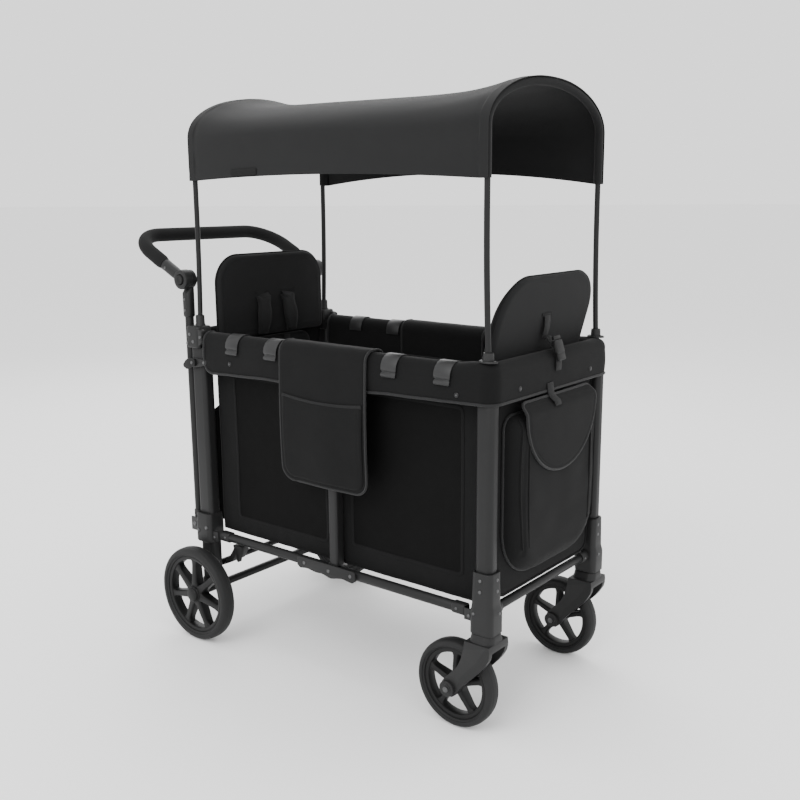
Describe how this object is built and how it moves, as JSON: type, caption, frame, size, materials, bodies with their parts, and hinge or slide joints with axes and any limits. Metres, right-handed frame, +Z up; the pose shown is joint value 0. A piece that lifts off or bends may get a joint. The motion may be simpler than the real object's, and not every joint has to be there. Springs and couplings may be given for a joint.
{
  "type": "folding pull wagon",
  "caption": "Folding two-seat pull wagon with fabric tub, facing seats, arched canopy, reclining pull handle, swivel front casters and large rear wheels.",
  "frame": {"origin": "bottom centre of the wagon's box, on the floor under it", "axes": "+X towards the swivel casters, -X towards the pull handle, +Y to the left side, +Z up"},
  "size_m": [1.2045, 0.602, 1.4058],
  "materials": {
    "frame_tube": "satin dark grey powder coat",
    "moulded_plastic": "fine moulded texture",
    "tyre": "matt foam-filled rubber",
    "foam": "matt foam sleeve",
    "canopy_fabric": "plain woven polyester",
    "canopy_pole": "satin",
    "pad_fabric": "padded woven polyester",
    "mesh_fabric": "woven polyester with fine mesh windows",
    "body_fabric": "woven polyester with piped edges"
  },
  "bodies": {
    "rear_frame": {"rear_post_left": "frame_tube", "rear_post_right": "frame_tube", "rear_collar_left": "moulded_plastic", "rear_collar_right": "moulded_plastic", "rear_corner_block_left": "moulded_plastic", "rear_corner_block_right": "moulded_plastic", "rear_axle": "frame_tube", "rear_end_panel": "body_fabric", "side_wall_rear_left": "mesh_fabric", "side_wall_rear_right": "mesh_fabric"},
    "handle_uprights": {"handle_upright_left": "frame_tube", "handle_upright_right": "frame_tube"},
    "handle_grip": {"grip_tube": "frame_tube", "foam_grip": "foam"},
    "hub_button_left": {"hub_button_left": "moulded_plastic"},
    "hub_button_right": {"hub_button_right": "moulded_plastic"},
    "latch_lever_left": {"latch_lever_left": "moulded_plastic"},
    "latch_lever_right": {"latch_lever_right": "moulded_plastic"},
    "brake": {"brake_bar": "frame_tube"},
    "upper_rear": {"upper_rail_rear_left": "frame_tube", "upper_rail_rear_right": "frame_tube", "rim_cover_left": "body_fabric", "rim_cover_right": "body_fabric"},
    "upper_front": {"upper_rail_front_left": "frame_tube", "upper_rail_front_right": "frame_tube"},
    "lower_rear": {"lower_rail_rear_left": "frame_tube", "lower_rail_rear_right": "frame_tube", "floor_rear": "body_fabric"},
    "lower_front": {"lower_rail_front_left": "frame_tube", "lower_rail_front_right": "frame_tube", "floor_front": "body_fabric"},
    "centre_posts": {"centre_post_left": "frame_tube", "centre_post_right": "frame_tube", "rim_flap_left": "body_fabric", "rim_flap_right": "body_fabric"},
    "front_frame": {"front_post_left": "frame_tube", "front_post_right": "frame_tube", "front_collar_left": "moulded_plastic", "front_collar_right": "moulded_plastic", "front_lower_crossbar": "frame_tube", "front_end_panel": "body_fabric", "side_wall_front_left": "mesh_fabric", "side_wall_front_right": "mesh_fabric"},
    "rear_seat": {"rear_seat": "pad_fabric"},
    "front_seat": {"front_seat": "pad_fabric"},
    "rear_backrest": {"rear_backrest": "pad_fabric"},
    "front_backrest": {"front_backrest": "pad_fabric"},
    "rear_canopy_arch": {"rear_arch": "canopy_pole", "canopy": "canopy_fabric"},
    "front_canopy_arch": {"front_arch": "canopy_pole"},
    "caster_left": {"caster_fork_left": "moulded_plastic"},
    "caster_right": {"caster_fork_right": "moulded_plastic"},
    "front_wheel_left": {"front_tyre_left": "tyre", "front_rim_left": "moulded_plastic"},
    "front_wheel_right": {"front_tyre_right": "tyre", "front_rim_right": "moulded_plastic"},
    "rear_wheel_left": {"rear_tyre_left": "tyre", "rear_rim_left": "moulded_plastic"},
    "rear_wheel_right": {"rear_tyre_right": "tyre", "rear_rim_right": "moulded_plastic"}
  },
  "joints": [
    {"name": "frame_fold", "type": "hinge", "parent": "rear_frame", "child": "upper_rear", "pos_m": [-0.3042, 0, 0.804], "axis": [0, -1, 0], "range_deg": [0, 55], "deforming": ["rim_cover_left", "rim_cover_right", "canopy"]},
    {"name": "upper_centre_hinge", "type": "hinge", "parent": "upper_rear", "child": "upper_front", "pos_m": [0.1058, 0, 0.804], "axis": [0, -1, 0], "range_deg": [-110, 0]},
    {"name": "upper_front_hinge", "type": "hinge", "parent": "upper_front", "child": "front_frame", "pos_m": [0.5158, 0, 0.804], "axis": [0, -1, 0], "range_deg": [0, 55]},
    {"name": "lower_rear_hinge", "type": "hinge", "parent": "rear_frame", "child": "lower_rear", "pos_m": [-0.3042, 0, 0.276], "axis": [0, -1, 0], "range_deg": [0, 55]},
    {"name": "lower_centre_hinge", "type": "hinge", "parent": "lower_rear", "child": "lower_front", "pos_m": [0.1058, 0, 0.276], "axis": [0, -1, 0], "range_deg": [-110, 0]},
    {"name": "centre_post_hinge", "type": "hinge", "parent": "lower_rear", "child": "centre_posts", "pos_m": [0.1058, 0, 0.276], "axis": [0, -1, 0], "range_deg": [-55, 0]},
    {"name": "rear_seat_fold", "type": "hinge", "parent": "rear_frame", "child": "rear_seat", "pos_m": [-0.3127, 0, 0.486], "axis": [0, -1, 0], "range_deg": [0, 82.5]},
    {"name": "front_seat_fold", "type": "hinge", "parent": "front_frame", "child": "front_seat", "pos_m": [0.5243, 0, 0.486], "axis": [0, 1, 0], "range_deg": [0, 82.5]},
    {"name": "rear_backrest_fold", "type": "hinge", "parent": "rear_frame", "child": "rear_backrest", "pos_m": [-0.3052, 0, 0.79], "axis": [0, 1, 0], "range_deg": [0, 75]},
    {"name": "front_backrest_fold", "type": "hinge", "parent": "front_frame", "child": "front_backrest", "pos_m": [0.4948, 0, 0.79], "axis": [0, -1, 0], "range_deg": [0, 75]},
    {"name": "handle_recline", "type": "hinge", "parent": "rear_frame", "child": "handle_uprights", "pos_m": [-0.3802, 0, 0.3], "axis": [0, -1, 0], "range_deg": [0, 75]},
    {"name": "grip_tilt", "type": "hinge", "parent": "handle_uprights", "child": "handle_grip", "pos_m": [-0.3802, 0, 0.951], "axis": [0, -1, 0], "range_deg": [-50, 60]},
    {"name": "hub_button_left_press", "type": "slide", "parent": "handle_grip", "child": "hub_button_left", "axis": [0, -1, 0], "range_m": [0, 0.002], "stiffness_N_per_m": 800},
    {"name": "hub_button_right_press", "type": "slide", "parent": "handle_grip", "child": "hub_button_right", "axis": [0, 1, 0], "range_m": [0, 0.002], "stiffness_N_per_m": 800},
    {"name": "latch_lever_left_lift", "type": "hinge", "parent": "rear_frame", "child": "latch_lever_left", "pos_m": [-0.3412, 0.257, 0.743], "axis": [0, 1, 0], "range_deg": [0, 30], "stiffness_Nm_per_rad": 0.3, "springref_deg": -11.46},
    {"name": "latch_lever_right_lift", "type": "hinge", "parent": "rear_frame", "child": "latch_lever_right", "pos_m": [-0.3412, -0.257, 0.743], "axis": [0, 1, 0], "range_deg": [0, 30], "stiffness_Nm_per_rad": 0.3, "springref_deg": -11.46},
    {"name": "brake_press", "type": "hinge", "parent": "rear_frame", "child": "brake", "pos_m": [-0.3367, 0, 0.187], "axis": [0, 1, 0], "range_deg": [0, 25]},
    {"name": "canopy_lift", "type": "slide", "parent": "rear_frame", "child": "rear_canopy_arch", "axis": [0, 0, 1], "range_m": [0, 0.15]},
    {"name": "front_arch_lift", "type": "slide", "parent": "front_frame", "child": "front_canopy_arch", "axis": [0, 0, 1], "range_m": [0, 0.15]},
    {"name": "caster_left_swivel", "type": "hinge", "parent": "front_frame", "child": "caster_left", "pos_m": [0.5501, 0.224, 0.243], "axis": [0, 0, 1], "continuous": true},
    {"name": "front_wheel_left_spin", "type": "hinge", "parent": "caster_left", "child": "front_wheel_left", "pos_m": [0.4743, 0.224, 0.1016], "axis": [0, 1, 0], "continuous": true},
    {"name": "caster_right_swivel", "type": "hinge", "parent": "front_frame", "child": "caster_right", "pos_m": [0.5501, -0.224, 0.243], "axis": [0, 0, 1], "continuous": true},
    {"name": "front_wheel_right_spin", "type": "hinge", "parent": "caster_right", "child": "front_wheel_right", "pos_m": [0.4743, -0.224, 0.1016], "axis": [0, 1, 0], "continuous": true},
    {"name": "rear_wheel_left_spin", "type": "hinge", "parent": "rear_frame", "child": "rear_wheel_left", "pos_m": [-0.3367, 0.281, 0.126], "axis": [0, 1, 0], "continuous": true},
    {"name": "rear_wheel_right_spin", "type": "hinge", "parent": "rear_frame", "child": "rear_wheel_right", "pos_m": [-0.3367, -0.281, 0.126], "axis": [0, 1, 0], "continuous": true}
  ],
  "couplings": [
    {"joint": "upper_centre_hinge", "follows": "frame_fold", "ratio": -2},
    {"joint": "upper_front_hinge", "follows": "frame_fold", "ratio": 1},
    {"joint": "lower_rear_hinge", "follows": "frame_fold", "ratio": 1},
    {"joint": "lower_centre_hinge", "follows": "frame_fold", "ratio": -2},
    {"joint": "centre_post_hinge", "follows": "frame_fold", "ratio": -1},
    {"joint": "rear_seat_fold", "follows": "frame_fold", "ratio": 1.5},
    {"joint": "front_seat_fold", "follows": "frame_fold", "ratio": 1.5},
    {"joint": "front_arch_lift", "follows": "canopy_lift", "ratio": 1}
  ]
}
